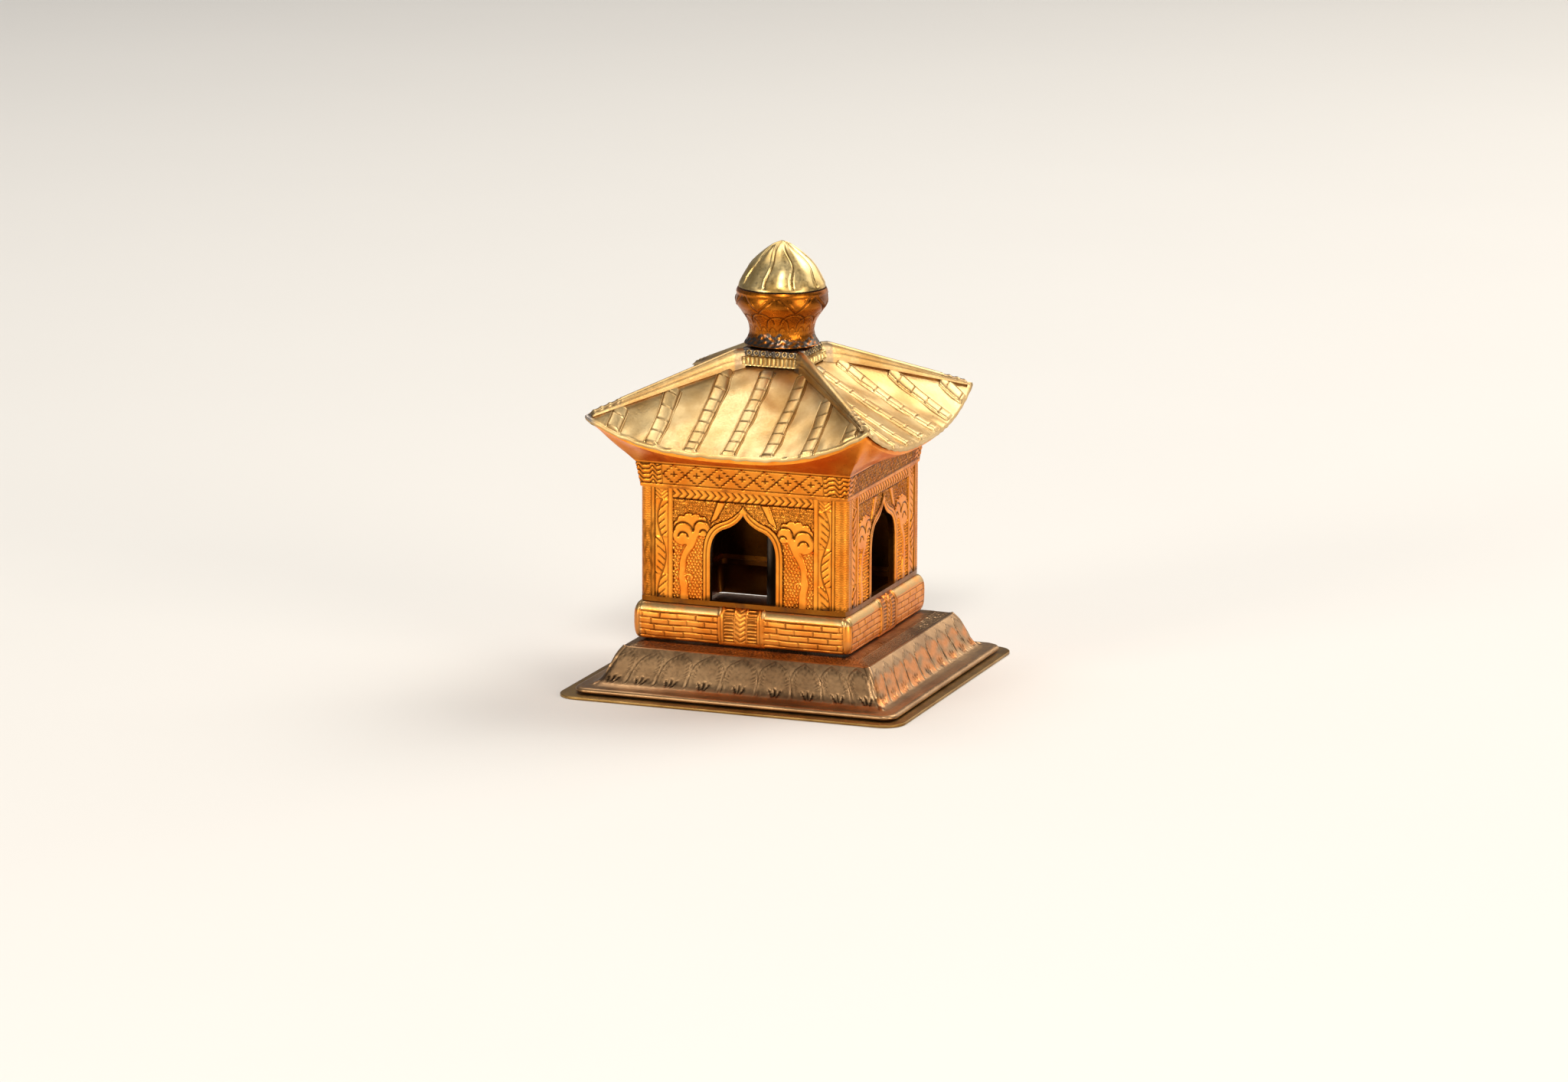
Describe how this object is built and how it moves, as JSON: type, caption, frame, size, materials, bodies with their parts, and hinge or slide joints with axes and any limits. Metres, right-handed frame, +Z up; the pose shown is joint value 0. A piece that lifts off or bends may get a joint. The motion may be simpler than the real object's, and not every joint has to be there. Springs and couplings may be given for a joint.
{
  "type": "reliquary casket",
  "caption": "Small gold reliquary casket: a square pavilion with ogee doorways, a hipped roof and a lotus bud, over a silver post on a lotus plinth and a flat base plate.",
  "frame": {"origin": "on the surface the casket stands on, under the middle of the base plate", "axes": "+Z up along the casket's height, -Y out of the front doorway, +X to the right when facing the front"},
  "size_m": [0.0582, 0.0582, 0.071],
  "materials": {
    "plate_gold": "worn dull gold sheet",
    "dark_silver": "tarnished silver sheet with brown patina",
    "post_silver": "dull tarnished silver",
    "red_gold": "chased gold, satin, darker in the lines",
    "pale_gold": "satin gold sheet"
  },
  "bodies": {
    "root": {"base_plate": "plate_gold", "plinth": "dark_silver", "silver_post": "post_silver", "foot_moulding": "red_gold", "walls": "red_gold", "cornice": "red_gold", "roof": "pale_gold", "roof_collar": "pale_gold", "bud_cup": "pale_gold", "bud_cap": "pale_gold"}
  },
  "joints": []
}
